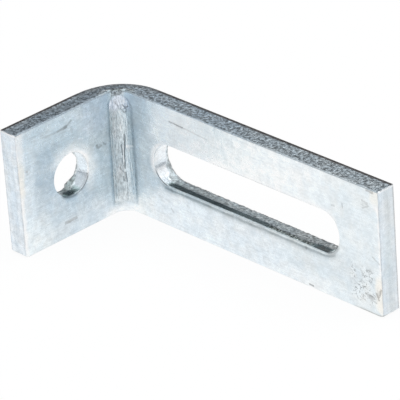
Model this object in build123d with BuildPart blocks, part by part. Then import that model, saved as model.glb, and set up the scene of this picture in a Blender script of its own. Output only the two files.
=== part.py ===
from build123d import *
from math import atan2, degrees
import os

# Angle bracket: one flat steel bar, sheared to length, punched, and bent once across its width.
# Millimetres. It stands on one long edge of the bar. X runs along the long leg, the short leg
# points to -Y at the -X end, and the origin is the middle of the footprint on the ground.

# Flat bar. Its long edges are almost sharp.
bar_width = 25.0
bar_thickness = 4.0
long_edge_radius = 0.2

# Legs, measured over the outside of the bend. Their sheared ends are almost sharp too.
long_leg = 70.0
short_leg = 29.3
end_edge_radius = 0.25

# Bend. The punch pressed into the inside, so the wall is thinner there than in the legs.
outer_bend_radius = 9.5
inner_bend_radius = 2.8

# Punched openings, measured on the inner faces
hole_diameter = 8.5
hole_from_free_end = 12.5
hole_height = 12.1
slot_width = 8.5
slot_length = 47.5
slot_from_free_end = 10.1
slot_height = 12.6

# Cut wall of a punched opening, going outwards from the inner face: a rounded lip, a straight
# land of the stated size, then a break-out that widens to the outer face
lip_radius = 0.3
hole_land_depth = 2.4
slot_land_depth = 1.6
break_out_width = 0.45
hole_break_out_angle = degrees(atan2(break_out_width, bar_thickness - hole_land_depth))
slot_break_out_angle = degrees(atan2(break_out_width, bar_thickness - slot_land_depth))

# Outer and inner planes of the legs
outer_x = -long_leg / 2
inner_x = outer_x + bar_thickness
outer_y = short_leg / 2
inner_y = outer_y - bar_thickness
long_end_x = long_leg / 2
short_end_y = -short_leg / 2

with BuildPart() as bracket:
    # Bar bent into two legs
    with BuildSketch(Plane.XY) as plan:
        with BuildLine():
            Polyline(
                (outer_x, outer_y),
                (outer_x, short_end_y),
                (inner_x, short_end_y),
                (inner_x, inner_y),
                (long_end_x, inner_y),
                (long_end_x, outer_y),
                close=True,
            )
        make_face()
        outer_bend = plan.vertices().sort_by_distance((outer_x, outer_y))[0]
        fillet(outer_bend, outer_bend_radius)
        inner_bend = plan.vertices().sort_by_distance((inner_x, inner_y))[0]
        fillet(inner_bend, inner_bend_radius)
        end_corners = [
            plan.vertices().sort_by_distance((inner_x, short_end_y))[0],
            plan.vertices().sort_by_distance((outer_x, short_end_y))[0],
            plan.vertices().sort_by_distance((long_end_x, inner_y))[0],
            plan.vertices().sort_by_distance((long_end_x, outer_y))[0],
        ]
        fillet(end_corners, end_edge_radius)
    extrude(amount=bar_width)

    # Long edges of the bar
    level_faces = bracket.faces().filter_by(Axis.Z).sort_by(Axis.Z)
    fillet(level_faces[0].edges() + level_faces[-1].edges(), long_edge_radius)

    # Round hole through the short leg
    hole_y = short_end_y + hole_from_free_end
    into_short_leg = Plane((inner_x, hole_y, hole_height), x_dir=(0, 1, 0), z_dir=(-1, 0, 0))
    with BuildSketch(into_short_leg):
        Circle(hole_diameter / 2)
    extrude(amount=bar_thickness, mode=Mode.SUBTRACT)
    with BuildSketch(into_short_leg.offset(hole_land_depth)):
        Circle(hole_diameter / 2)
    extrude(amount=bar_thickness - hole_land_depth, taper=-hole_break_out_angle, mode=Mode.SUBTRACT)

    # Long slot through the long leg
    slot_x = long_end_x - slot_from_free_end - slot_length / 2
    into_long_leg = Plane((slot_x, inner_y, slot_height), x_dir=(1, 0, 0), z_dir=(0, 1, 0))
    with BuildSketch(into_long_leg):
        SlotOverall(slot_length, slot_width)
    extrude(amount=bar_thickness, mode=Mode.SUBTRACT)
    with BuildSketch(into_long_leg.offset(slot_land_depth)):
        SlotOverall(slot_length, slot_width)
    extrude(amount=bar_thickness - slot_land_depth, taper=-slot_break_out_angle, mode=Mode.SUBTRACT)

    # Rounded lips where the punches entered
    short_inner_face = bracket.faces().filter_by(Axis.X).sort_by(Axis.X)[1]
    long_inner_face = bracket.faces().filter_by(Axis.Y).sort_by(Axis.Y)[1]
    hole_mouth = short_inner_face.inner_wires().edges()
    slot_mouth = long_inner_face.inner_wires().edges()
    fillet(hole_mouth + slot_mouth, lip_radius)

bracket.part.label = "bracket"

os.makedirs("parts", exist_ok=True)
export_step(bracket.part, "parts/bracket.step")
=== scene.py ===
import math

import bpy
import numpy as np
from mathutils import Euler, Matrix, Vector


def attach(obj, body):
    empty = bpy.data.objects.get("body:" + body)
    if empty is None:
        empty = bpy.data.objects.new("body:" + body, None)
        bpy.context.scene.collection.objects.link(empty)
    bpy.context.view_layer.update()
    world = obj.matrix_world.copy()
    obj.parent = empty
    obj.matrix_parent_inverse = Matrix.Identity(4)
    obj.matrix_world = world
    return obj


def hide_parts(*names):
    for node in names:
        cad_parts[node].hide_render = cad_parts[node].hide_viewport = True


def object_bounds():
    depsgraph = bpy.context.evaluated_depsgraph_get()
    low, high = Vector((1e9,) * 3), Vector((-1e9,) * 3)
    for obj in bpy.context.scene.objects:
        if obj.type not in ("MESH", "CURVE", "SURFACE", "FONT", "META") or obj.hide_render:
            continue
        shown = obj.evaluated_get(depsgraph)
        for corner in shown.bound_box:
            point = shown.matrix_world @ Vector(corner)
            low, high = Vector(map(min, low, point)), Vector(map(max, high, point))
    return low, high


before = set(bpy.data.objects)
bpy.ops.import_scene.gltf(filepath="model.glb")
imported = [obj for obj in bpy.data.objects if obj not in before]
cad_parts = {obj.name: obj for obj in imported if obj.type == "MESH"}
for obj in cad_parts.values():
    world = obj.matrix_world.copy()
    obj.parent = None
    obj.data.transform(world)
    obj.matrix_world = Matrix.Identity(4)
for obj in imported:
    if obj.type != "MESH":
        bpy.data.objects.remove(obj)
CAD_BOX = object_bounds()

MM = 0.001

# The box of the solids in millimetres, and the other sizes of the part's source
(OUTER_X, SHORT_END_Y, _), (LONG_END_X, OUTER_Y, WIDTH) = np.round(np.array(CAD_BOX) / MM, 2)
THICK = 4.0
OUTER_BEND_R = 9.5
INNER_BEND_R = 2.8
OPENING_R = 4.25
HOLE_FROM_END, HOLE_Z = 12.5, 12.1
SLOT_FROM_END, SLOT_LENGTH, SLOT_Z = 10.1, 47.5, 12.6
INNER_X = OUTER_X + THICK
INNER_Y = OUTER_Y - THICK

# A point of the bar is named by s, h and d: s along it, h up its width, d out from its inner face.
# s is negative on the short leg, 0 to BEND_S in the bend and larger on the long leg.
BEND_S = 10.0
BEND_X = OUTER_X + OUTER_BEND_R
BEND_Y = OUTER_Y - OUTER_BEND_R
S_SHORT = SHORT_END_Y - BEND_Y
S_LONG = BEND_S + LONG_END_X - BEND_X
# The middle of the hole, and of each round end of the slot
HOLE_S = S_SHORT + HOLE_FROM_END
SLOT_RIGHT = S_LONG - SLOT_FROM_END - OPENING_R
SLOT_LEFT = SLOT_RIGHT + 2 * OPENING_R - SLOT_LENGTH
# The inner fillet takes the bend's s between these shares of it
FILLET_FROM, FILLET_TO = 0.2, 0.8

# Roundings of the edges: along the top of the inner face, there in the bend, along its foot,
# along the outer face, and round the ends, where the others shrink to TIGHT
ROLL_IN = 0.32
BEND_ROLL = 0.5
ROLL_LOW = 0.11
ROLL_OUT = 0.05
END_R = 0.15
TIGHT = 0.05


def step(a, b, x):
    """0 below a, 1 above b, with a soft step between."""
    t = np.clip((x - a) / (b - a), 0.0, 1.0)
    return t * t * (3 - 2 * t)


def hump(a, b, c, d, x):
    """0 outside a..d, 1 between b and c."""
    return step(a, b, x) * (1 - step(c, d, x))


def noise(p, size, seed):
    """Gradient noise of about -1 to 1 at points p. size is a cell's side, or its three sides."""
    rng = np.random.default_rng(seed)
    perm = rng.permutation(256)
    grad = rng.normal(size=(256, 3))
    grad /= np.linalg.norm(grad, axis=1)[:, None]
    q = p / np.asarray(size, float)
    cell = np.floor(q).astype(int)
    f = q - cell
    w = f * f * f * (f * (f * 6 - 15) + 10)
    total = np.zeros(len(p))
    for i in (0, 1):
        for j in (0, 1):
            for k in (0, 1):
                c = cell + (i, j, k)
                key = perm[(perm[(perm[c[:, 0] & 255] + c[:, 1]) & 255] + c[:, 2]) & 255]
                g = ((f - (i, j, k)) * grad[key]).sum(1)
                weight = (
                    (w[:, 0] if i else 1 - w[:, 0])
                    * (w[:, 1] if j else 1 - w[:, 1])
                    * (w[:, 2] if k else 1 - w[:, 2])
                )
                total += weight * g
    return total * 1.6


def fbm(p, size, seed, octaves=3, gain=0.55):
    """Noise with finer and weaker noise added, each about half the size of the one before."""
    total, amp, cell = np.zeros(len(p)), 1.0, np.asarray(size, float)
    for octave in range(octaves):
        total += amp * noise(p, cell, seed + 31 * octave)
        amp *= gain
        cell = cell / 2.03
    return total


def share(a, b, x):
    """How far x has come from a to b, within 0 and 1."""
    return np.clip((x - a) / (b - a), 0.0, 1.0)


def place(s, h, d):
    """Where a point of the bar lies, in millimetres."""
    s, h, d = np.broadcast_arrays(np.asarray(s, float), h, d)
    u = np.clip(s / BEND_S, 0.0, 1.0)
    # The inner face runs on straight by this much on both sides of its smaller fillet
    lead = OUTER_BEND_R - THICK - INNER_BEND_R
    turn = share(FILLET_FROM, FILLET_TO, u) * (math.pi / 2)
    ix = INNER_X + INNER_BEND_R * (1 - np.cos(turn)) + lead * share(FILLET_TO, 1.0, u)
    iy = BEND_Y + lead * share(0.0, FILLET_FROM, u) + INNER_BEND_R * np.sin(turn)
    sweep = u * (math.pi / 2)
    ox = BEND_X - OUTER_BEND_R * np.cos(sweep)
    oy = BEND_Y + OUTER_BEND_R * np.sin(sweep)
    on_x = np.maximum(s - BEND_S, 0)
    on_y = np.minimum(s, 0)
    w = d / THICK
    x = ix + (ox - ix) * w + on_x
    y = iy + (oy - iy) * w + on_y
    return np.stack([x, y, h * np.ones_like(s)], axis=-1)


# The mesh is built from patches, each a grid of points (s, h, d)
patches = []


def add(grid, wrap=False, **zones):
    """Keeps one patch. wrap joins its last column to the first."""
    patches.append((grid, wrap, zones))


def spaced(a, b, gap):
    """Numbers from a to b that lie about a gap apart."""
    return np.linspace(a, b, max(2, int(round(abs(b - a) / gap)) + 1))


def joined(*runs):
    """Runs laid end to end, where each starts with the last of the one before."""
    out = [np.asarray(runs[0])]
    for run in runs[1:]:
        out.append(np.asarray(run)[1:])
    return np.concatenate(out)


def end_inset(t, r):
    """How far a rounded edge of radius r has drawn back at t from the end."""
    t = np.clip(t, 0, r)
    return r - np.sqrt(np.maximum(r * r - (r - t) ** 2, 0))


# The stretches of s that hold the hole, the bend and the slot, and those of the openings' patches
HOLE_FROM, BEND_FROM, SLOT_FROM, SLOT_TO = -15.2, -0.2, BEND_S + 0.3, BEND_S + 53.8
HOLE_PATCH = (-14.9, -0.3)
SLOT_PATCH = (BEND_S + 0.32, BEND_S + 53.7)

# Stations along the bar, closest in the bend and at the ends
PLAIN_GAP, HOLE_GAP, BEND_GAP, SLOT_GAP = 0.28, 0.22, 0.105, 0.25
ARC_POINTS, TOP_POINTS = 6, 17
end_run = END_R * (1 - np.cos(np.linspace(0, math.pi / 2, ARC_POINTS)))
stations = joined(
    S_SHORT + end_run,
    spaced(S_SHORT + END_R, HOLE_FROM, PLAIN_GAP),
    spaced(HOLE_FROM, BEND_FROM, HOLE_GAP),
    spaced(BEND_FROM, SLOT_FROM, BEND_GAP),
    spaced(SLOT_FROM, SLOT_TO, SLOT_GAP),
    spaced(SLOT_TO, S_LONG - END_R, PLAIN_GAP),
    (S_LONG - end_run)[::-1],
)

# Heights on the faces, as shares of the width, closer near the edges. Rows J0 to J1 bound the
# openings' patches.
LOW, HIGH = 3.2, WIDTH - 3.2
EDGE_ROWS, MIDDLE_ROWS, CROWDING = 13, 40, 1.25
near = np.linspace(0, 1, EDGE_ROWS + 1) ** CROWDING * (LOW / WIDTH)
heights = joined(near, np.linspace(LOW, HIGH, MIDDLE_ROWS + 1) / WIDTH, 1 - near[::-1])
J0, J1 = EDGE_ROWS, EDGE_ROWS + MIDDLE_ROWS

# Places in a cross-section loop, which runs up the inner face, over the top, down the outer face
# and back along the bottom
N_FACE = len(heights)
I_TOP = N_FACE + ARC_POINTS - 2
I_OUT = I_TOP + TOP_POINTS + ARC_POINTS - 2
OUT_LAST = I_OUT + N_FACE - 1


def ring(s):
    """The bar's cross-section loop at s, as (h, d)."""
    t = min(s - S_SHORT, S_LONG - s)
    in_d = end_inset(t, END_R)
    out_d = THICK - end_inset(t, END_R)
    low = end_inset(t, END_R)
    high = WIDTH - low
    r_in = float(ROLL_IN + (BEND_ROLL - ROLL_IN) * hump(1.4, 3.9, 6.1, 8.6, s))
    r_low, r_out = ROLL_LOW, ROLL_OUT
    if t < END_R:
        r_in, r_low, r_out = (TIGHT + (r - TIGHT) * t / END_R for r in (r_in, r_low, r_out))
    q = np.linspace(0, math.pi / 2, ARC_POINTS)
    face_h = low + r_low + heights * (high - low - r_low - r_in)
    inner = np.stack([face_h, np.full_like(face_h, in_d)], 1)
    arc_1 = np.stack([high - r_in + r_in * np.sin(q), in_d + r_in - r_in * np.cos(q)], 1)
    top_d = np.linspace(in_d + r_in, out_d - r_out, TOP_POINTS)
    top = np.stack([np.full_like(top_d, high), top_d], 1)
    arc_2 = np.stack([high - r_out + r_out * np.cos(q), out_d - r_out + r_out * np.sin(q)], 1)
    out_h = (low + r_out + heights * (high - low - 2 * r_out))[::-1]
    outer = np.stack([out_h, np.full_like(out_h, out_d)], 1)
    arc_3 = np.stack([low + r_out - r_out * np.sin(q), out_d - r_out + r_out * np.cos(q)], 1)
    bottom_d = np.linspace(out_d - r_out, in_d + r_low, TOP_POINTS)
    bottom = np.stack([np.full_like(bottom_d, low), bottom_d], 1)
    arc_4 = np.stack([low + r_low - r_low * np.cos(q), in_d + r_low - r_low * np.sin(q)], 1)
    return joined(inner, arc_1, top, arc_2, outer, arc_3, bottom, arc_4)[:-1]


loops = np.stack([ring(s) for s in stations])
AROUND = loops.shape[1]
along = np.broadcast_to(stations[:, None, None], (len(stations), AROUND, 1))
tube = np.concatenate([along, loops], axis=2)


def station(s):
    """The number of the station nearest to s."""
    return int(np.argmin(np.abs(stations - s)))


# A punched opening, going out from the inner face: a shallow roll-over of the face, a small lip,
# a straight burnished land, then torn metal that widens to the outer face. Its points are numbered
# by zone: 0 on the face, up to LIP_ZONE on the roll-over, up to LAND_ZONE on the lip, up to
# TORN_ZONE on the land, up to 1 more on the torn metal, and BACK_ZONE on the outer face.
ROLLOVER_W = 1.1
LIP_ZONE, LAND_ZONE, TORN_ZONE, BACK_ZONE = 0.1, 1.0, 2.0, 4.0
FACE_ROWS, ROLL_ROWS, LIP_ROWS, LAND_ROWS, TORN_ROWS, BACK_ROWS = 10, 7, 6, 8, 14, 8
FACE_CROWDING = 1.35


def opening_patch(c1, c2, hc, s0, s1, rollover, lip_radius, land_end, flare):
    """Walls of an opening and the face round it, between s0 and s1.

    c1 and c2 are the s of its round ends' centres, and hc is their height. The last four are
    functions of s and of the direction out from the nearest centre, in degrees.
    """
    i0, i1 = station(s0), station(s1)

    def perimeter(row_a, row_b):
        rows = np.arange(row_a, row_b + 1) if row_b > row_a else np.arange(row_a, row_b - 1, -1)
        below = tube[i0:i1, rows[0]]
        right = tube[i1, rows[:-1]]
        above = tube[i1:i0:-1, rows[-1]]
        left = tube[i0, rows[:0:-1]]
        return np.concatenate([below, right, above, left])

    front = perimeter(J0, J1)
    back = perimeter(OUT_LAST - J0, OUT_LAST - J1)
    s, h = front[:, 0], front[:, 1]
    centre = np.stack([np.clip(s, c1, c2), np.full_like(s, hc)], 1)
    out = np.stack([s, h], 1) - centre
    out /= np.linalg.norm(out, axis=1)[:, None]
    angle = np.degrees(np.arctan2(out[:, 1], out[:, 0]))
    wall = centre + out * OPENING_R
    roll = rollover(wall[:, 0], angle)
    lip = lip_radius(wall[:, 0], angle)
    land = land_end(wall[:, 0], angle)
    wide = flare(wall[:, 0], angle)

    def at(radius, depth):
        p = centre + out * np.broadcast_to(radius, s.shape)[:, None]
        return np.concatenate([p, np.broadcast_to(depth, s.shape)[:, None]], axis=1)

    rows, cut = [], []
    flat_from = OPENING_R + lip + ROLLOVER_W
    flat_ring = at(flat_from, 0.0)
    for t in np.linspace(0, 1, FACE_ROWS + 1)[:0:-1] ** FACE_CROWDING:
        rows.append(flat_ring + (front - flat_ring) * t)
        cut.append(0.0)
    for t in np.linspace(0, 1, ROLL_ROWS + 1)[:-1]:
        rows.append(at(flat_from - ROLLOVER_W * t, roll * t ** 2))
        cut.append(LIP_ZONE * t)
    for a in np.linspace(0, math.pi / 2, LIP_ROWS):
        radius = OPENING_R + lip * (1 - math.sin(a))
        rows.append(at(radius, roll + lip * (1 - math.cos(a))))
        cut.append(LIP_ZONE + (LAND_ZONE - LIP_ZONE) * a / (math.pi / 2))
    land_from = roll + lip
    for k in np.linspace(0, 1, LAND_ROWS + 1)[1:]:
        rows.append(at(OPENING_R, land_from + (land - land_from) * k))
        cut.append(LAND_ZONE + k)
    for k in np.linspace(0, 1, TORN_ROWS + 1)[1:]:
        rows.append(at(OPENING_R + wide * k, land + (THICK - land) * k))
        cut.append(TORN_ZONE + k)
    outer_ring = rows[-1]
    for t in np.linspace(0, 1, BACK_ROWS + 1)[1:] ** FACE_CROWDING:
        rows.append(outer_ring + (back - outer_ring) * t)
        cut.append(BACK_ZONE)
    grid = np.stack(rows)
    add(grid, wrap=True, cut=np.broadcast_to(np.array(cut)[:, None], grid.shape[:2]))
    return i0, i1


def hole_rollover(s, angle):
    """Deepest above."""
    above = hump(0, 15, 90, 125, angle)
    return 0.03 + 0.15 * above + 0.1 * hump(-125, -105, -80, -68, angle)


def hole_lip(s, angle):
    """Well rounded below, sharp on the left and on the lower right."""
    below = hump(-126, -114, -80, -68, angle)
    left = step(105, 120, np.abs(angle)) * (1 - below)
    return 0.12 + 0.23 * below - 0.07 * left - 0.06 * hump(-68, -62, -24, -14, angle)


def hole_land(s, angle):
    """Deep on the right, shallower below."""
    lower = 0.35 * hump(-100, -90, -75, -60, angle) + 0.9 * hump(-145, -125, -108, -96, angle)
    return 2.45 + 0.5 * hump(-52, -30, 80, 120, angle) - lower


def hole_flare(s, angle):
    """A tongue of metal was left on the lower right."""
    tongue = hump(-76, -69, -58, -34, angle)
    right = 0.1 * hump(-25, -12, 2, 8, angle) - 0.32 * hump(8, 20, 40, 70, angle)
    return 0.42 + right - 0.55 * tongue


def slot_rollover(s, angle):
    """The upper side was pressed in more than the lower one."""
    return 0.08 + 0.12 * hump(10, 50, 130, 175, angle) + 0.06 * hump(-130, -110, -70, -50, angle)


def slot_lip(s, angle):
    """The lower edge is well rounded, most of all a little right of its middle."""
    lower_edge = 0.2 + 0.1 * step(19, 25, s) + 0.12 * step(30, 35, s) - 0.22 * step(40, 42.5, s)
    far_left = np.maximum(step(150, 172, angle), 1 - step(-172, -155, angle))
    return 0.12 + (lower_edge - 0.12) * hump(-130, -105, -75, -50, angle) + 0.1 * far_left


def slot_land(s, angle):
    """Deep on the left. Below it is shallow, and most of all where the punch chattered."""
    left = np.maximum(step(95, 115, angle), 1 - step(-162, -152, angle))
    below = hump(-132, -122, -60, -30, angle)
    chattered = 0.25 * hump(41, 43.5, 51.5, 53.5, s)
    deeper = 0.35 * hump(53, 54.5, 59, 61, s) + 0.2 * (1 - step(18, 23, s))
    lower_left = 0.45 * hump(-160, -152, -132, -122, angle)
    return 2.15 + 1.15 * left + lower_left - below * (0.65 + chattered - deeper)


def slot_flare(s, angle):
    """Wider below."""
    return 0.3 + 0.15 * hump(-150, -110, -60, -30, angle)


hole_span = opening_patch(
    HOLE_S, HOLE_S, HOLE_Z, *HOLE_PATCH, hole_rollover, hole_lip, hole_land, hole_flare
)
slot_span = opening_patch(
    SLOT_LEFT, SLOT_RIGHT, SLOT_Z, *SLOT_PATCH, slot_rollover, slot_lip, slot_land, slot_flare
)

# The bar's own skin, left open where the openings' patches lie
OUT_LOW, OUT_HIGH = OUT_LAST - J0, OUT_LAST - J1
closed = np.concatenate([tube, tube[:, :1]], axis=1)


def skin(i0, i1, j0, j1):
    """Adds the skin between two stations and two places in the loop, if there is any."""
    if i1 > i0 and j1 > j0:
        add(closed[i0:i1 + 1, j0:j1 + 1][::-1])


spans = [0, hole_span[0], hole_span[1], slot_span[0], slot_span[1], len(stations) - 1]
for n in range(5):
    a, b = spans[n], spans[n + 1]
    if n in (1, 3):
        skin(a, b, 0, J0)
        skin(a, b, J1, OUT_HIGH)
        skin(a, b, OUT_LOW, AROUND)
    else:
        skin(a, b, 0, AROUND)


def cap(i, flip):
    """Closes one end of the bar with a grid between the four sides of its last loop."""
    loop = tube[i]
    inner = loop[0:N_FACE]
    outer = loop[I_OUT:I_OUT + N_FACE][::-1]
    top = loop[N_FACE - 1:I_OUT + 1]
    bottom = np.concatenate([loop[OUT_LAST:], loop[:1]])[::-1]
    n, m = len(inner), len(top)
    u = np.linspace(0, 1, m)[None, :, None]
    v = heights[:, None, None]
    across = inner[:, None] * (1 - u) + outer[:, None] * u
    up = bottom[None] * (1 - v) + top[None] * v
    lower = inner[0] * (1 - u) + outer[0] * u
    upper = inner[-1] * (1 - u) + outer[-1] * u
    grid = across + up - (lower * (1 - v) + upper * v)
    add(grid[::-1] if flip else grid, end=np.full((n, m), 1.0))


cap(0, True)
cap(len(stations) - 1, False)

# Merge the patches
points, cut_zone, end_zone, faces, base = [], [], [], [], 0
for grid, wrap, zones in patches:
    n, m = grid.shape[:2]
    points.append(grid.reshape(-1, 3))
    cut_zone.append(np.array(zones.get("cut", np.zeros((n, m)))).reshape(-1))
    end_zone.append(np.array(zones.get("end", np.zeros((n, m)))).reshape(-1))
    index = base + np.arange(n * m).reshape(n, m)
    if wrap:
        index = np.concatenate([index, index[:, :1]], axis=1)
    quad = np.stack([index[:-1, :-1], index[:-1, 1:], index[1:, 1:], index[1:, :-1]], axis=-1)
    faces.append(quad.reshape(-1, 4))
    base += n * m
shd = np.concatenate(points)
faces = np.concatenate(faces)
_, first, merged = np.unique(np.round(shd, 5) + 0.0, axis=0, return_index=True, return_inverse=True)
cut_zone = np.concatenate(cut_zone)[first]
end_zone = np.concatenate(end_zone)[first]
shd = shd[first]
faces = merged.reshape(-1)[faces]

xyz = place(shd[:, 0], shd[:, 1], shd[:, 2])


def point_normals(v):
    """The mesh's normal at each point."""
    n = np.cross(v[faces[:, 2]] - v[faces[:, 0]], v[faces[:, 3]] - v[faces[:, 1]])
    out = np.zeros_like(v)
    for k in range(4):
        np.add.at(out, faces[:, k], n)
    return out / np.maximum(np.linalg.norm(out, axis=1), 1e-12)[:, None]


normal = point_normals(xyz)

# Where each kind of surface lies
s_, h_, d_ = shd.T
bar = np.stack([s_, h_, d_], 1)
steep = np.abs(normal[:, 2])
on_level = step(0.25, 0.6, steep) * (cut_zone == 0) * (1 - end_zone)
on_wall = (cut_zone > 0.5) & (cut_zone < BACK_ZONE)
land = hump(0.9, 1.1, 1.85, 2.05, cut_zone) * on_wall
torn = step(1.9, 2.2, cut_zone) * on_wall
end_t = np.minimum(s_ - S_SHORT, S_LONG - s_)
on_end = np.maximum(end_zone, 1 - step(0.0, END_R, end_t))
inner_face = (steep < 0.6) & (d_ < 1.0) & (cut_zone < 0.5) & (end_zone < 0.5)
bend_part = hump(-3.0, 1.5, 8.5, 14.0, s_)
on_short = s_ < 0
on_long = s_ > 5
below_mid = h_ < SLOT_Z
above_mid = h_ > SLOT_Z
at_mouth = (cut_zone < 1.2) * (d_ < 1.0)


def from_opening(c1, c2, hc):
    """Distance out from the straight wall of an opening, and the direction, in degrees."""
    ds, dh = s_ - np.clip(s_, c1, c2), h_ - hc
    return np.hypot(ds, dh) - OPENING_R, np.degrees(np.arctan2(dh, ds))


hole_r, hole_a = from_opening(HOLE_S, HOLE_S, HOLE_Z)
slot_r, slot_a = from_opening(SLOT_LEFT, SLOT_RIGHT, SLOT_Z)

# Painted highlights: the rims above and right of the hole, and above and left of the slot, are painted
# bright. Round the hole the brightness fades in a wider tail.
rim_wave = 0.15 * noise(bar, 1.5, 71)
inside = inner_face.astype(float)
hole_highlight = hump(-45, -12, 120, 160, hole_a) * (1 - step(0.5, 2.0, hole_r + rim_wave)) * inside
hole_highlight_tail = hump(-60, -20, 120, 160, hole_a) * (1 - step(1.0, 3.2, hole_r + 2 * rim_wave)) * inside
over_slot = hump(15, 70, 205, 225, np.where(slot_a < -90, slot_a + 360, slot_a))
slot_highlight = over_slot * (1 - step(0.3, 1.25, slot_r + rim_wave)) * inside
# Painted shade: below the slot the face is dimmer, behind a painted highlight along its edge
under_slot = hump(-142, -98, -60, -40, slot_a) * inside
under_r = slot_r + 0.12 * noise(bar, (2.5, 1.0, 1.0), 70)
core = hump(0.25, 0.5, 0.65, 1.0, under_r) * (0.75 + 0.25 * noise(bar, (3.0, 1.0, 1.0), 74))
shade = under_slot * (0.7 * core + 0.42 * hump(0.2, 0.5, 0.8, 1.8, under_r))
# Painted shade: the lower rim of the hole darkens towards its edge
low_rim = hump(-136, -118, -78, -67, hole_a) * (1 - step(-0.1, 0.7, hole_r)) * at_mouth
# Painted shade: thin dark lines along parts of the rims
rim_shade_line = 0.9 * hump(-163, -146, -112, -92, slot_a) * hump(0.0, 0.05, 0.16, 0.28, slot_r)
rim_shade_line += 0.85 * hump(-78, -66, -30, -12, hole_a) * hump(-0.01, 0.03, 0.16, 0.3, hole_r)
slot_top = hump(27, 31, 48, 53, s_) * hump(60, 80, 100, 120, slot_a)
rim_shade_line += 0.22 * slot_top * hump(-0.05, 0.0, 0.12, 0.26, slot_r)
rim_shade_line = rim_shade_line * at_mouth

# The punch that made the bend left a sunken band with a rounded top end and a line down each side
BAND_MID, BAND_HALF, BAND_TOP, BAND_ARC = 5.15, 3.15, 24.0, 2.4
top_arc = np.clip((h_ - (BAND_TOP - BAND_ARC)) / BAND_ARC, 0, 1.4)
left_half = BAND_HALF + 0.025 * (10 - h_)
right_half = BAND_HALF + 0.02 * np.minimum(h_ - 8, 2)
half_now = np.where(s_ < BAND_MID, left_half, right_half)
side = np.abs(s_ - BAND_MID) / half_now
out_of_band = (np.hypot(side, top_arc) - 1) * half_now
out_of_band = out_of_band + 0.1 * noise(bar, 1.1, 62) + 0.1 * noise(bar, (9, 9, 9), 68)
fade_low = step(0.9, 2.6, h_ + 0.5 * noise(bar, 1.0, 69))
band = (1 - step(-0.3, 0.1, out_of_band)) * inner_face * fade_low
band_line = hump(-0.55, -0.1, 0.05, 0.45, out_of_band) * inner_face * fade_low
streak = fbm(bar, (0.4, 3.0, 1.0), 61, 4, 0.7)
crease_s = 5.62 + 0.16 * noise(bar, (50, 2.6, 50), 63) - 0.012 * (h_ - 10)
ridge = (1 - step(0.08, 0.3, np.abs(s_ - crease_s + 0.42))) * hump(6, 7, 12.5, 14, h_) * inner_face
# Above the band the squeezed metal is rough and dark
squeezed = hump(3.1, 3.7, 5.8, 6.6, s_ + 0.4 * noise(bar, 0.9, 67))
squeezed = squeezed * step(23.6, 24.1, h_ + 0.4 * noise(bar, 0.8, 65)) * (d_ < 1.4)
# A stretch of the slot's lower wall where the punch chattered
chatter = hump(40.5, 43, 52.0, 54.0, s_) * land * below_mid
# The slit edge is darkest along the outer face, and smoother where the bend stretched it
far_edge = step(0.15, 0.45, steep) * (cut_zone == 0) * (1 - end_zone) * above_mid
far_edge = far_edge * step(3.25, 3.5, d_ + 0.12 * noise(bar, (3.0, 3.0, 0.5), 72))
stretched = on_level * bend_part * step(2.2, 3.0, d_ + 0.3 * noise(bar, (1.5, 1.5, 1.5), 73))

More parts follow.
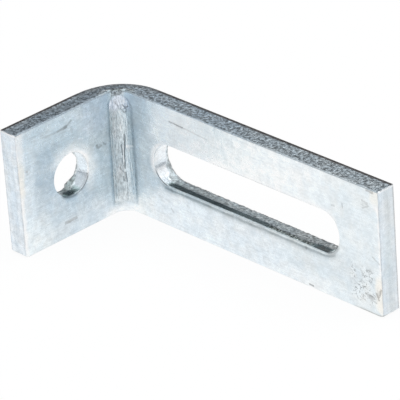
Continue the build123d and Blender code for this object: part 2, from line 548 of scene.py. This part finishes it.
# Strokes, scratches and spots on the inner face: from (s, h) to (s, h), half width, depth of tone,
# how brown. Where the depth is below zero the mark is lighter than the face. A point that is
# farther than NEAR_MARK from all of them has no mark.
MARKS = [
    (17.9, 22.2, 19.6, 22.15, 0.17, 0.45, 0.0),
    (19.3, 22.15, 21.6, 22.05, 0.14, 0.65, 0.1),
    (21.6, 22.05, 27.8, 21.6, 0.12, 0.20, 0.8),
    (-13.4, 22.0, -9.9, 21.9, 0.18, 0.20, 0.2),
    (-9.9, 21.9, -8.2, 22.05, 0.21, 0.36, 0.2),
    (-8.2, 22.05, -7.3, 22.15, 0.28, 0.50, 0.1),
    (-7.3, 22.15, -6.2, 22.9, 0.20, 0.34, 0.1),
    (-6.4, 21.6, -6.3, 20.3, 0.30, 0.18, 0.2),
    (-17.0, 23.2, -11.5, 22.9, 0.16, 0.12, 0.3),
    (-0.7, 15.6, -0.3, 14.8, 0.24, 0.45, 0.3),
    (-0.3, 14.8, 0.5, 15.0, 0.20, 0.38, 0.3),
    (0.6, 15.5, 1.2, 14.8, 0.18, 0.34, 0.1),
    (0.6, 19.3, 0.7, 19.2, 0.22, 0.25, 0.0),
    (-0.9, 20.0, -0.8, 19.9, 0.22, 0.22, 0.0),
    (-9.9, 3.1, -6.8, 3.15, 0.28, 0.24, 0.9),
    (-9.0, 3.0, -7.9, 3.1, 0.22, 0.36, 0.8),
    (-18.0, 16.9, -17.5, 16.85, 0.28, 0.25, 0.9),
    (-9.4, 18.0, -9.4, 17.9, 0.22, 0.28, 0.0),
    (-16.1, 22.4, -16.0, 22.4, 0.24, 0.24, 0.0),
    (0.4, 8.9, 0.4, 8.8, 0.22, 0.32, 0.0),
    (-1.9, 20.9, -1.8, 20.7, 0.24, 0.24, 0.1),
    (52.1, 0.45, 53.2, 0.4, 0.16, 0.55, 0.2),
    (66.4, 22.2, 68.0, 21.9, 0.20, 0.22, 0.2),
    (66.5, 20.7, 68.2, 21.6, 0.17, 0.20, 0.2),
    (58.8, 18.7, 59.7, 18.8, 0.22, 0.24, 0.1),
    (61.6, 20.0, 61.7, 19.0, 0.15, 0.24, 0.1),
    (66.2, 3.6, 68.5, 3.4, 0.18, 0.42, 0.4),
    (67.0, 3.0, 69.0, 2.5, 0.17, 0.25, 0.4),
    (70.2, 5.7, 69.7, 4.2, 0.20, 0.42, 0.7),
    (68.9, 4.6, 69.6, 3.2, 0.18, 0.42, 0.7),
    (68.4, 11.6, 70.2, 10.6, 0.15, 0.24, 0.3),
    (51.7, 7.9, 52.1, 7.6, 0.22, 0.34, 0.2),
    (16.7, 4.0, 17.5, 3.3, 0.22, 0.22, 0.1),
    (67.6, 24.55, 69.4, 24.5, 0.22, 0.34, 0.8),
    (16.9, 8.2, 17.6, 7.5, 0.26, 0.20, 0.0),
    (21.2, 6.0, 21.9, 5.7, 0.22, 0.16, 0.1),
    # The crease in the band, and the strokes beside it
    (5.9, 15.9, 5.85, 14.4, 0.22, 0.60, 0.0),
    (5.85, 14.4, 5.6, 12.3, 0.13, 0.80, 0.0),
    (5.6, 12.3, 5.4, 8.8, 0.12, 0.72, 0.0),
    (5.0, 13.8, 5.0, 11.6, 0.13, 0.70, 0.0),
    (4.9, 11.0, 4.9, 9.7, 0.12, 0.45, 0.0),
    (4.1, 9.1, 4.9, 8.1, 0.13, 0.45, 0.0),
    (5.4, 8.1, 5.6, 6.0, 0.15, 0.60, 0.0),
    (4.8, 7.2, 4.9, 6.2, 0.12, 0.45, 0.0),
    (5.7, 5.5, 5.4, 2.0, 0.12, 0.30, 0.0),
    (5.3, 13.6, 5.25, 10.2, 0.12, -0.55, 0.0),
    (5.1, 17.9, 5.1, 16.6, 0.14, -0.50, 0.0),
    (6.1, 13.4, 8.2, 13.8, 0.22, -1.0, 0.0),
    (5.9, 22.1, 6.6, 21.4, 0.15, 0.50, 0.0),
    (6.6, 21.4, 7.6, 21.9, 0.15, 0.55, 0.0),
    (5.4, 21.2, 6.3, 20.4, 0.14, 0.45, 0.0),
    (6.3, 20.4, 7.1, 20.9, 0.14, 0.42, 0.0),
    (4.3, 22.4, 5.1, 21.6, 0.14, 0.32, 0.0),
    (6.2, 23.0, 6.9, 22.4, 0.14, -0.60, 0.0),
    (5.0, 20.6, 5.5, 19.9, 0.14, -0.50, 0.0),
]
NEAR_MARK = 0.75


def nearest_marks():
    """Each point's nearest mark: half widths to its side, distance past its end, tone, brown."""
    across, past, tone, rust = np.zeros((4, len(s_)))
    nearest = np.full(len(s_), NEAR_MARK)
    for s1, h1, s2, h2, half, depth, brown in MARKS:
        ds, dh = s2 - s1, h2 - h1
        length = math.hypot(ds, dh)
        along = ((s_ - s1) * ds + (h_ - h1) * dh) / length
        side = ((h_ - h1) * ds - (s_ - s1) * dh) / length
        beyond = np.maximum(-along, along - length)
        gap = np.hypot(side, np.maximum(beyond, 0))
        here = (gap < nearest) & inner_face
        across[here] = side[here] / half
        past[here] = beyond[here]
        tone[here] = depth
        rust[here] = brown
        nearest[here] = gap[here]
    return across, past, tone, rust


mark_across, mark_past, mark_tone, mark_rust = nearest_marks()

# Relief in millimetres, along the surface's own normal
relief = 0.02 * fbm(xyz, 5.0, 11, 2) + 0.004 * fbm(xyz, 1.3, 12, 2)
relief = relief * (1 - on_level) * (1 - on_wall)
rough_edge = np.maximum(on_level, squeezed) * (1 - 0.85 * stretched) * (1 - far_edge)
rough_edge = rough_edge * (0.25 + 0.75 * step(0.3, 1.3, d_))
relief += rough_edge * (-0.025 + 0.03 * fbm(xyz, 0.8, 21, 3))
relief += torn * (0.09 * fbm(xyz, 0.6, 41, 3) - 0.03)
relief += chatter * 0.09 * fbm(bar, (0.5, 0.5, 1.5), 42, 2)
relief += end_zone * (0.012 * fbm(bar, (1.0, 9.0, 0.7), 51, 2) - 0.012)
relief += band * (-0.07 + 0.045 * streak)
wrinkles = hump(20.8, 21.6, 23.3, 23.9, h_) * band
diagonal = np.stack([s_ + h_, s_ - h_, d_], 1)
relief += wrinkles * 0.09 * fbm(diagonal, (1.6, 0.5, 1.0), 66, 2)
relief += 0.04 * ridge - 0.05 * band_line
# A nick in the long leg's foot
relief -= 0.12 * hump(51.9, 52.2, 53.3, 53.7, s_) * (1 - step(0.35, 0.9, h_)) * (d_ < 0.7)
# The marks in the bend are pressed in as well
is_mark = (1 - step(0.5, 1.5, np.abs(mark_across))) * (1 - step(-0.1, 0.15, mark_past)) * mark_tone
relief -= 0.06 * is_mark * inner_face * hump(2, 3, 7, 9, s_)
xyz = xyz + normal * relief[:, None]

# The stretched outside of the bend has drawn in from both long edges
drawn_in = 0.14 * hump(-2.5, 3.0, 7.0, 12.5, s_) * step(1.0, 4.0, d_)
xyz[:, 2] += drawn_in * ((1 - step(0.0, 5.0, h_)) - step(WIDTH - 5.0, WIDTH, h_))
# The shear has rounded the lower corners of both ends
xyz[:, 2] += 0.36 * (1 - share(0.0, 1.2, end_t)) ** 2 * (1 - share(0.0, 1.6, h_))

# Nothing stands outside the box of the solids
xyz = np.clip(xyz, (OUTER_X, SHORT_END_Y, 0.0), (LONG_END_X, OUTER_Y, WIDTH))

# The finish, with painted highlights, reflections and shade, is painted on the points. The material
# adds the fine grain.
ZINC = (0.80, 0.87, 0.92)
WHITE = (1.0, 1.0, 1.0)
paint = np.tile(ZINC, (len(s_), 1))


def lay(amount, colour):
    """Paints a colour over what lies there already, as strongly as amount says at each point."""
    paint[:] += np.clip(amount, 0, 1)[:, None] * (np.asarray(colour) - paint)


drift = noise(bar, 5.0, 81)
soft = noise(bar, 1.6, 82)

# Inner face of the long leg: pale, a little deeper in the bend's shadow and low on the right
lay(inside, (0.94, 0.975, 0.99))
lay(inside * hump(9, 13, 18, 24, s_) * step(13, 17, h_), (0.90, 0.96, 1.0))
lay(inside * hump(15, 22, 34, 42, s_) * step(14, 19, h_), (0.965, 0.995, 1.0))
lay(inside * (1 - step(8, 13, h_ + 2 * drift)) * (1 - step(42, 60, s_)), (0.85, 0.91, 0.95))
lay(inside * step(52, 62, s_), (0.845, 0.90, 0.925))
lay(inside * hump(43, 49, 66, 72, s_ + drift) * hump(2.0, 3.8, 8, 12, h_), (0.79, 0.85, 0.88))
by_bend = inside * (1 - step(9, 14.5, s_ + 0.6 * soft))
lay(by_bend, (0.92, 0.965, 0.98))
lay(by_bend * step(3, 14, h_), (0.75, 0.825, 0.88))
lay(0.85 * by_bend * step(8.8, 10.0, s_) * hump(2, 5, 14, 17, h_), (0.95, 0.985, 1.0))

# Inner face of the short leg: deeper, as painted shade on the side turned from the light; palest along
# the foot and towards its end, where highlights are painted
short_side = inside * (1 - step(2, 8, s_))
lay(short_side, (0.61, 0.705, 0.775))
lay(short_side * hump(13, 16, 30, 31, h_ + drift), (0.70, 0.79, 0.85))
lay(short_side * (1 - step(-12, -8, s_ + drift)) * step(14, 17, h_ + drift), (0.755, 0.845, 0.905))
lay(short_side * (1 - step(3.5, 6.5, h_ + drift)), (0.705, 0.785, 0.84))
lay(short_side * step(-4.5, -1.0, s_ + drift) * step(4, 8, h_), (0.635, 0.72, 0.77))
beside_bend = hump(-4.5, -3.0, -0.8, 0.5, s_) * hump(6.5, 8, 12.5, 14.5, h_)
lay(0.6 * short_side * beside_bend, (0.78, 0.86, 0.91))
lay(0.52 * short_side * hump(-17, -15, -11, -9, s_) * hump(9, 11, 19, 21, h_), (0.50, 0.59, 0.66))
lay(0.4 * short_side * hump(-13, -11, -5, -3, s_) * hump(3, 4.2, 7, 9, h_), (0.57, 0.66, 0.72))
lay(0.5 * short_side * hump(-4.5, -2.5, 1.0, 3.0, s_) * step(17, 20, h_), (0.73, 0.81, 0.90))
lay(short_side * (1 - step(-18, -15, s_ + soft)), (0.785, 0.86, 0.91))
low_left = (1 - step(-18, -9, s_ + 0.5 * drift)) * (1 - step(3, 10, h_))
lay(short_side * low_left, (0.89, 0.945, 0.965))

# Round the openings
# Painted shade below the slot, then a painted highlight along its lower edge
lay(shade, (0.40, 0.45, 0.47))
lay(0.7 * under_slot * hump(-0.1, 0.0, 0.12, 0.28, slot_r), (0.86, 0.92, 0.90))
below_slot = hump(-125, -112, -60, -40, slot_a) * on_long
low_lip = hump(0.35, 0.75, 1.0, 1.4, cut_zone) * below_slot
low_land = land * below_slot
# Painted shade on the slot's lower lip
lay(0.5 * low_lip, (0.45, 0.50, 0.50))
# The rim at the slot's lower right corner is dim with painted shade
right_corner = hump(-88, -74, -38, -15, slot_a) * hump(-0.1, 0.02, 0.3, 0.65, slot_r)
lay(0.85 * right_corner * (s_ > 50) * at_mouth, (0.48, 0.51, 0.52))
# Painted highlights round the rims of the hole, and above and left of the slot
lay(0.75 * hole_highlight_tail, (0.96, 0.985, 1.0))
lay(0.95 * hole_highlight, (0.98, 0.995, 1.0))
lay(0.95 * slot_highlight, (0.975, 0.99, 1.0))
# Painted reflections of the pale floor on parts of the walls
smooth_wall = hump(0.05, 0.2, 1.9, 2.0, cut_zone) * (d_ < 3.9)
slot_left = on_long * (s_ < 20) * hump(120, 140, 182, 192, slot_a % 360)
slot_lower_left = on_long * hump(-165, -152, -130, -120, slot_a)
hole_right = on_short * (cut_zone < 1.1) * hump(-45, -20, 110, 140, hole_a)
lay(0.5 * smooth_wall * slot_left, WHITE)
lay(0.9 * smooth_wall * hole_right, WHITE)
lay(0.7 * hump(0.7, 0.95, 1.9, 2.0, cut_zone) * slot_lower_left, WHITE)
# Painted shade on the hole's lower rim
lay(0.85 * low_rim * on_short, (0.16, 0.19, 0.20))
# The land low in the hole is painted pale green-grey as a reflection of the floor
lay(0.8 * land * on_short * hump(-120, -108, -66, -54, hole_a), (0.60, 0.79, 0.78))

# Painted highlights along the vertical edges, in a stripe that is widest at the top, and low down on
# the right
left_stripe = 0.95 + 1.05 * step(17, 20, h_) + 0.6 * hump(11, 13.5, 17, 20, h_)
right_stripe = 0.5 + 1.9 * step(20, 23, h_) + 1.4 * hump(0.2, 1.2, 7, 10, h_)
stripe = np.where(on_short, left_stripe, right_stripe)
edge_highlight = inside * (1 - step(0.55, 1.1, (end_t + 0.3 * soft) / stripe))
right_cream = np.maximum(step(21.5, 23, h_), hump(0.3, 0.9, 7, 9, h_))
cream = np.where(on_short, hump(11, 13.5, 18, 20, h_), right_cream)
# Painted highlights, cream-tinted in parts
lay(0.95 * edge_highlight * (1 - cream), WHITE)
lay(0.85 * edge_highlight * cream, (0.98, 0.95, 0.89))

# Worn crystals low on the long leg's free end
worn = hump(62.3, 63.6, 67.7, 69.0, s_) * hump(1.2, 2.2, 8.0, 9.4, h_) * inside
worn = worn * step(-0.6, 0.05, noise(bar, 2.2, 84))
lay(0.25 * worn, (1.0, 0.99, 0.96))

# Sheared ends, in strips down their height, and the shade along the foot of the right one
end_d = d_ + 0.25 * noise(bar, (1, 9, 1), 85)
left_end, right_end = on_end * on_short, on_end * on_long
lay(left_end, (0.83, 0.885, 0.93))
lay(right_end, (0.735, 0.785, 0.82))
lay(0.5 * right_end * (1 - step(0.7, 1.3, end_d)), (0.79, 0.86, 0.92))
lay(0.4 * right_end * hump(1.3, 1.9, 2.6, 3.2, end_d), (0.65, 0.70, 0.715))
lay(on_end * step(3.55, 3.85, d_) * np.where(on_long, 0.6, 0.25), (0.42, 0.41, 0.40))
lay(0.75 * inside * step(62, 67, s_) * (1 - step(0.15, 0.5, h_)), (0.46, 0.46, 0.43))
lay(0.35 * left_end * hump(1.0, 1.8, 2.6, 3.3, end_d), (0.66, 0.75, 0.82))
lay(0.4 * left_end * step(0.05, 0.5, noise(bar, (1.0, 1.7, 1.0), 86)), (0.62, 0.71, 0.79))
mid_end = hump(6, 9, 14, 17, h_) * hump(0.3, 0.8, 2.4, 3.0, end_d)
lay(0.5 * right_end * mid_end, (0.62, 0.71, 0.76))

# The band in the bend: darker on the left, pale where it fades out low down above a painted reflection
# of the floor at its foot
lay(band, (0.715, 0.80, 0.845))
lay(band * (1 - step(4.2, 6.0, s_ + 0.4 * soft)), (0.535, 0.605, 0.64))
lay(0.3 * band * hump(2.8, 3.6, 4.4, 5.2, s_) * step(0.0, 0.5, drift), (0.66, 0.64, 0.66))
lay(0.7 * band * step(20.6, 21.6, h_ + 0.4 * soft), (0.76, 0.82, 0.93))
lay(0.8 * band * (1 - step(1.8, 4.5, h_)), (0.80, 0.86, 0.89))
# A painted reflection of the floor at the foot of the bend
lay(0.8 * inside * hump(-1.5, 1.5, 6.5, 9.5, s_) * (1 - step(0.5, 1.9, h_)), (0.98, 0.995, 1.0))
lay((0.34 - 0.20 * step(17, 22, h_)) * band_line, (0.25, 0.33, 0.40))
lay(0.45 * ridge, (0.90, 0.93, 0.93))

# Torn metal in the openings; the slot's lower land, with a painted reflection of the pale floor, dark
# where the punch chattered and blotched beyond; and a painted dark shadow low in the hole
lay(torn, (0.75, 0.82, 0.845))
lay(0.4 * torn * on_long * hump(-168, -155, -125, -105, slot_a), (0.52, 0.57, 0.59))
lay(0.3 * torn * below_slot * (1 - step(24, 32, s_)), (0.58, 0.64, 0.66))
lay(0.6 * torn * on_long * below_mid * step(43, 50, s_), (0.61, 0.615, 0.60))
# Painted reflection of the pale floor on the slot's lower land
lay(0.8 * low_land * step(-112, -102, slot_a), (0.62, 0.79, 0.80))
lay(0.9 * chatter, (0.42, 0.45, 0.43))
blotches = hump(53.0, 54.0, 58.0, 60.0, s_) * step(-0.3, 0.3, soft)
lay(0.7 * land * below_mid * blotches, (0.60, 0.60, 0.58))
lay(0.9 * torn * on_short * hump(-100, -82, -50, -30, hole_a), (0.37, 0.43, 0.43))
lay(0.5 * torn * step(3.5, 3.9, d_), (0.45, 0.42, 0.40))

# The bar's long edges: dark and speckled, darkest along the outer face. Their dark is partly their own
# and partly painted shade.
lay(on_level, (0.35, 0.405, 0.45))
lay(on_level * step(4, 8, s_), (0.485, 0.555, 0.61))
lay(on_level * step(30, 45, s_), (0.525, 0.58, 0.61))
lay(0.35 * on_level * (s_ < 5) * hump(2.4, 2.8, 3.2, 3.5, d_), (0.55, 0.60, 0.63))
lay(0.8 * stretched, (0.42, 0.45, 0.47))
lay(far_edge * (0.9 - 0.65 * stretched), (0.125, 0.11, 0.105))
# In the bend the pale inner face runs on over the rounded edge as a painted reflection; painted shade
# on the roll damps the lamp's highlight
rolled = on_level * hump(0.5, 2.5, 7.5, 9.5, s_) * above_mid
lay(0.75 * rolled * (1 - step(0.9, 1.5, d_ + 0.25 * soft)), (0.85, 0.89, 0.89))
on_roll = 1 - step(0.5, 0.8, d_)
lay(rolled * on_roll, (0.34, 0.40, 0.43))
lay(0.85 * squeezed, (0.36, 0.40, 0.43))
# Darker still on the roll: the squeezed metal's own flecks, with painted shade over the lamp's
# highlight
lay(0.85 * squeezed * on_roll * (steep > 0.5), (0.15, 0.17, 0.17))
# A painted highlight along the upper edge of both sheared ends
lay(0.8 * on_end * step(24.6, 24.8, h_), WHITE)

# How strongly each kind of grain shows
level_grain = 0.46 * on_level * (1 - 0.6 * far_edge) * (0.3 + 0.7 * step(0.1, 0.6, d_))
grained = np.clip(np.maximum(level_grain, 0.6 * squeezed) + 0.32 * torn + 0.6 * chatter, 0, 1)
mottled = (1 - on_level) * (1 - torn) * (1 - squeezed) * (1 - 0.6 * band) * (1 - 0.7 * edge_highlight)
mottled = mottled * (1 - 0.6 * np.maximum(hole_highlight, slot_highlight)) * (1 - 0.25 * step(40, 60, s_))
rugged = np.maximum(np.maximum(on_level * step(0.2, 0.7, d_), torn), 0.6 * squeezed)
# Where the finish is chalky and mirrors less
matt = 0.85 * inside * hump(11, 17, 23, 33, s_) * step(13, 18, h_)
matt = np.maximum(matt, 0.85 * slot_highlight * (s_ < 20))
matt = np.maximum(matt, low_land * (0.02 + 0.09 * step(29, 36, s_)))
matt = np.maximum(matt, 0.22 * chatter * step(0.0, 0.45, noise(bar, (0.7, 0.7, 0.4), 91)))

mesh = bpy.data.meshes.new("bracket_finish")
mesh.from_pydata((xyz * MM).tolist(), [], faces.tolist())
mesh.validate()
fields = {
    "s": s_,
    "h": h_,
    "d": d_,
    "metal": 1 - matt,
    "rough": 0.26 + 0.18 * rugged - 0.07 * land,
    "rugged": rugged,
    "mottled": mottled,
    "grained": grained,
    "streaked": band * (1 - 0.4 * step(5, 7, s_)),
    "sheared": on_end,
    "end_t": end_t,
    "chatter": chatter,
    "worn": worn,
    "rim_shade_line": rim_shade_line,
    "mark_across": mark_across,
    "mark_past": mark_past,
    "mark_tone": mark_tone,
    "mark_rust": mark_rust,
}
for name, values in fields.items():
    layer = mesh.attributes.new(name, "FLOAT", "POINT")
    layer.data.foreach_set("value", np.asarray(values, float))
layer = mesh.attributes.new("paint", "FLOAT_COLOR", "POINT")
layer.data.foreach_set("color", np.hstack([paint, np.ones((len(s_), 1))]).reshape(-1))
mesh.polygons.foreach_set("use_smooth", [True] * len(mesh.polygons))
bracket = bpy.data.objects.new("bracket_finish", mesh)
bpy.context.collection.objects.link(bracket)
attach(bracket, "root")
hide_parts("bracket")


class Nodes:
    """Short calls that add linked shader nodes to one material or world."""

    def __init__(self, owner, output):
        owner.use_nodes = True
        self.tree = owner.node_tree
        self.tree.nodes.clear()
        self.out = self.node(output)

    def show(self, shader):
        self.tree.links.new(shader.outputs[0], self.out.inputs[0])

    def put(self, socket, value):
        if isinstance(value, bpy.types.NodeSocket):
            self.tree.links.new(value, socket)
        elif value is not None:
            socket.default_value = value

    def node(self, kind, inputs=None, **settings):
        n = self.tree.nodes.new("ShaderNode" + kind)
        for k, v in settings.items():
            setattr(n, k, v)
        for k, v in (inputs or {}).items():
            self.put(n.inputs[k], v)
        return n

    def math(self, op, a, b=None, clamp=False):
        n = self.node("Math", operation=op, use_clamp=clamp)
        for i, v in enumerate((a, b)):
            self.put(n.inputs[i], v)
        return n.outputs[0]

    def mul(self, a, b):
        return self.math("MULTIPLY", a, b)

    def plus(self, a, b):
        return self.math("ADD", a, b)

    def ramp(self, x, a, b, lo=0.0, hi=1.0):
        inputs = {"Value": x, "From Min": a, "From Max": b, "To Min": lo, "To Max": hi}
        return self.node("MapRange", inputs, interpolation_type="SMOOTHSTEP").outputs["Result"]

    def mix(self, t, a, b):
        n = self.node("Mix", data_type="RGBA")
        for i, v in ((0, t), (6, a), (7, b)):
            self.put(n.inputs[i], v)
        return n.outputs[2]

    def attribute(self, name):
        n = self.node("Attribute", attribute_name=name, attribute_type="GEOMETRY")
        return n.outputs["Fac"]

    def noise(self, vector, scale, detail=3.0, rough=0.55):
        inputs = {"Vector": vector, "Scale": scale, "Detail": detail, "Roughness": rough}
        return self.node("TexNoise", inputs).outputs["Fac"]

    def stretch(self, vector, factors):
        return self.node("VectorMath", {0: vector, 1: factors}, operation="MULTIPLY").outputs[0]


# Colours that the material lays over the paint
WARMER, COOLER = (1.015, 1.005, 0.995, 1), (0.965, 0.99, 1.01, 1)
CRYSTAL_SEAM = (0.30, 0.32, 0.32, 1)
CORNER_LINE = (0.27, 0.27, 0.28, 1)
# Painted shade for lines along the openings' rims
RIM_SHADE = (0.24, 0.25, 0.26, 1)
DARK_MARK, BROWN_MARK, LIGHT_MARK = (0.12, 0.13, 0.14, 1), (0.42, 0.34, 0.26, 1), (0.95, 0.97, 0.98, 1)


def zinc():
    """The paint on the points, with its grain, worn crystals, thin lines and a fine relief."""
    mat = bpy.data.materials.new("zinc_plate")
    m = Nodes(mat, "OutputMaterial")
    s, h, d = m.attribute("s"), m.attribute("h"), m.attribute("d")
    bar = m.node("CombineXYZ", {"X": s, "Y": h, "Z": d}).outputs[0]
    coord = m.node("TexCoord").outputs["Object"]
    mm = m.stretch(coord, (1 / MM, 1 / MM, 1 / MM))
    cloud = m.noise(mm, 0.13, 2.0)
    tint = m.noise(mm, 0.35, 3.0, 0.6)
    mottle = m.noise(mm, 0.8, 3.0, 0.85)
    grain = m.noise(mm, 1.6, 3.0, 0.7)

    # Grain, in parts lighter and darker than the paint
    strokes = m.noise(m.stretch(bar, (3.4, 1.0, 1.0)), 1.0, 4.0, 0.75)
    shear = m.noise(m.stretch(bar, (0.6, 0.10, 1.1)), 1.0, 4.0, 0.7)
    brushed = m.noise(m.stretch(bar, (0.35, 2.6, 1.0)), 1.0, 3.0, 0.7)
    parts = [
        (m.attribute("mottled"), m.ramp(mottle, 0.36, 0.64, 0.05, -0.075)),
        (m.attribute("mottled"), m.ramp(cloud, 0.35, 0.65, 0.025, -0.03)),
        (m.attribute("mottled"), m.ramp(brushed, 0.36, 0.64, 0.04, -0.05)),
        (m.attribute("grained"), m.ramp(grain, 0.38, 0.62, -1.0, 1.0)),
        (m.attribute("streaked"), m.ramp(strokes, 0.36, 0.64, 0.22, -0.30)),
        (m.attribute("sheared"), m.ramp(shear, 0.38, 0.62, -0.05, 0.05)),
    ]
    tone = 1.0
    for amount, part in parts:
        tone = m.plus(m.mul(amount, part), tone)
    colour = m.node("Attribute", attribute_name="paint", attribute_type="GEOMETRY").outputs["Color"]
    colour = m.node("VectorMath", {0: colour, 3: tone}, operation="SCALE").outputs[0]
    colour = m.stretch(colour, m.mix(m.ramp(tint, 0.34, 0.66), WARMER, COOLER))
    colour = m.node("VectorMath", {0: colour, 1: WHITE}, operation="MINIMUM").outputs[0]

    # Worn crystals low on the long leg's free end
    wobble = m.node("TexNoise", {"Vector": bar, "Scale": 1.2}).outputs["Color"]
    warped = m.node("VectorMath", {0: bar, 1: wobble}, operation="ADD").outputs[0]
    cells = m.node("TexVoronoi", {"Vector": warped, "Scale": 1.15}, feature="DISTANCE_TO_EDGE")
    seam = m.ramp(cells.outputs["Distance"], 0.10, 0.02)
    crystal = m.mul(seam, m.mul(m.attribute("worn"), m.ramp(grain, 0.42, 0.6)))
    colour = m.mix(m.mul(crystal, 0.8), colour, CRYSTAL_SEAM)

    # Thin lines: the ends' corners, painted shade lines on the openings' rims, scratches and strokes
    end_t = m.attribute("end_t")
    corner_line = m.mul(m.ramp(end_t, 0.24, 0.08), m.ramp(d, 0.22, 0.05))
    broken = m.ramp(m.noise(bar, 0.5, 2.0), 0.42, 0.58, 0.05, 0.28)
    colour = m.mix(m.mul(corner_line, broken), colour, CORNER_LINE)
    colour = m.mix(m.attribute("rim_shade_line"), colour, RIM_SHADE)
    wavy = m.plus(m.attribute("mark_across"), m.mul(m.math("SUBTRACT", mottle, 0.5), 2.5))
    on_mark = m.ramp(m.math("ABSOLUTE", wavy), 1.7, 0.3)
    on_mark = m.mul(on_mark, m.ramp(m.attribute("mark_past"), 0.15, -0.1))
    depth = m.mul(on_mark, m.attribute("mark_tone"))
    dark = m.math("MAXIMUM", depth, 0.0)
    light = m.math("MAXIMUM", m.mul(depth, -1.0), 0.0)
    colour = m.mix(dark, colour, DARK_MARK)
    colour = m.mix(m.mul(m.mul(dark, m.attribute("mark_rust")), 0.6), colour, BROWN_MARK)
    colour = m.mix(light, colour, LIGHT_MARK)

    # Roughness and fine relief
    rugged = m.attribute("rugged")
    roughness = m.plus(m.attribute("rough"), m.ramp(mottle, 0.35, 0.65, 0.0, 0.08))
    roughness = m.plus(roughness, m.mul(dark, 0.2))
    fine = m.noise(mm, 0.8, 2.0)
    height = m.plus(m.mul(fine, 0.05), m.mul(grain, m.plus(m.mul(rugged, 0.11), 0.014)))
    height = m.plus(height, m.mul(m.attribute("chatter"), m.mul(m.noise(bar, 2.5, 2.0), 0.2)))
    height = m.math("SUBTRACT", height, m.mul(m.math("MAXIMUM", dark, crystal), 0.05))
    bump = m.node("Bump", {"Strength": 1.0, "Distance": MM, "Height": height})
    inputs = {"Base Color": colour, "Roughness": roughness, "Normal": bump.outputs[0]}
    inputs["Metallic"] = m.attribute("metal")
    m.show(m.node("BsdfPrincipled", inputs))
    return mat


mesh.materials.append(zinc())

# The stage: a white floor. The camera, and metal that mirrors the floor, see mostly plain white.
FLOOR_REACH = 4.0
FLOOR_DROP = 0.00002
FLOOR_GLOW = 0.93
PAPER = (0.9, 0.9, 0.9, 1)


def white_paper():
    mat = bpy.data.materials.new("white_paper")
    m = Nodes(mat, "OutputMaterial")
    diffuse = m.node("BsdfDiffuse", {"Color": PAPER})
    white = m.node("Emission", {"Color": (1, 1, 1, 1), "Strength": 1.0})
    rays = m.node("LightPath").outputs
    seen = m.math("MAXIMUM", rays["Is Camera Ray"], rays["Is Glossy Ray"])
    seen = m.math("MAXIMUM", seen, rays["Is Transmission Ray"])
    shaders = {1: diffuse.outputs[0], 2: white.outputs[0]}
    m.show(m.node("MixShader", {0: m.mul(seen, FLOOR_GLOW), **shaders}))
    return mat


r = FLOOR_REACH
floor_mesh = bpy.data.meshes.new("floor")
floor_mesh.from_pydata([(-r, -r, 0), (r, -r, 0), (r, r, 0), (-r, r, 0)], [], [(0, 1, 2, 3)])
floor_mesh.materials.append(white_paper())
floor = bpy.data.objects.new("floor", floor_mesh)
floor.location.z = -FLOOR_DROP
bpy.context.collection.objects.link(floor)

# A pale room, dim below a line just over the horizon, dark in one direction behind the bracket and
# with a bright window to the right of that. The angles are in degrees: how high the dim part ends
# and the pale one starts, and how far from its centre each lobe ends and is whole.
DIM_TO, PALE_FROM = 5, 10
WINDOW_CENTRE, WINDOW_REACH = (0.53, 0.594, 0.605), (26, 8)
DARK_CENTRE, DARK_REACH = (-0.70, 0.52, 0.49), (38, 13)
DIM_ROOM, PALE_ROOM = (0.25, 0.27, 0.30, 1), (0.72, 0.74, 0.76, 1)
WINDOW_LIGHT, DARK_SIDE = (1.0, 1.03, 1.06, 1), (0.03, 0.034, 0.04, 1)


def studio():
    world = bpy.data.worlds.new("studio")
    m = Nodes(world, "OutputWorld")
    towards = m.node("TexCoord").outputs["Generated"]

    def lobe(centre, reach):
        """1 near a direction, 0 far from it."""
        cosine = m.node("VectorMath", {0: towards, 1: centre}, operation="DOT_PRODUCT")
        outer, inner = (math.cos(math.radians(angle)) for angle in reach)
        return m.ramp(cosine.outputs["Value"], outer, inner)

    height = m.node("SeparateXYZ", {0: towards}).outputs["Z"]
    low, high = (math.sin(math.radians(angle)) for angle in (DIM_TO, PALE_FROM))
    room = m.mix(m.ramp(height, low, high), DIM_ROOM, PALE_ROOM)
    room = m.mix(lobe(WINDOW_CENTRE, WINDOW_REACH), room, WINDOW_LIGHT)
    room = m.mix(lobe(DARK_CENTRE, DARK_REACH), room, DARK_SIDE)
    m.show(m.node("Background", {"Color": room}))
    return world


bpy.context.scene.world = studio()

# One large soft lamp overhead, which points down as it is made
LAMP_HEIGHT, LAMP_SIZE, LAMP_RADIANCE = 1.0, 1.3, 1.3
lamp_data = bpy.data.lights.new("overhead", "AREA")
lamp_data.shape = "SQUARE"
lamp_data.size = LAMP_SIZE
lamp_data.energy = LAMP_RADIANCE * math.pi * LAMP_SIZE * LAMP_SIZE
lamp = bpy.data.objects.new("overhead", lamp_data)
lamp.location.z = LAMP_HEIGHT
bpy.context.collection.objects.link(lamp)

# The camera, with its turns about X, Y and Z in degrees and its lens and sensor in millimetres
CAMERA_PLACE = (0.454920, -0.410341, 0.337260)
CAMERA_TURNS = (62.2848, 3.7457, 45.9133)
LENS, SENSOR = 350.26, 36.0
SHIFT_UP = -0.0005
CLIP_FROM = 0.01
camera_data = bpy.data.cameras.new("camera")
camera_data.sensor_width = SENSOR
camera_data.lens = LENS
camera_data.clip_start = CLIP_FROM
camera_data.shift_y = SHIFT_UP
camera = bpy.data.objects.new("camera", camera_data)
turn = Euler([math.radians(angle) for angle in CAMERA_TURNS]).to_matrix().to_4x4()
camera.matrix_world = Matrix.Translation(CAMERA_PLACE) @ turn
bpy.context.collection.objects.link(camera)
bpy.context.scene.camera = camera
bpy.context.scene.view_settings.view_transform = "Standard"
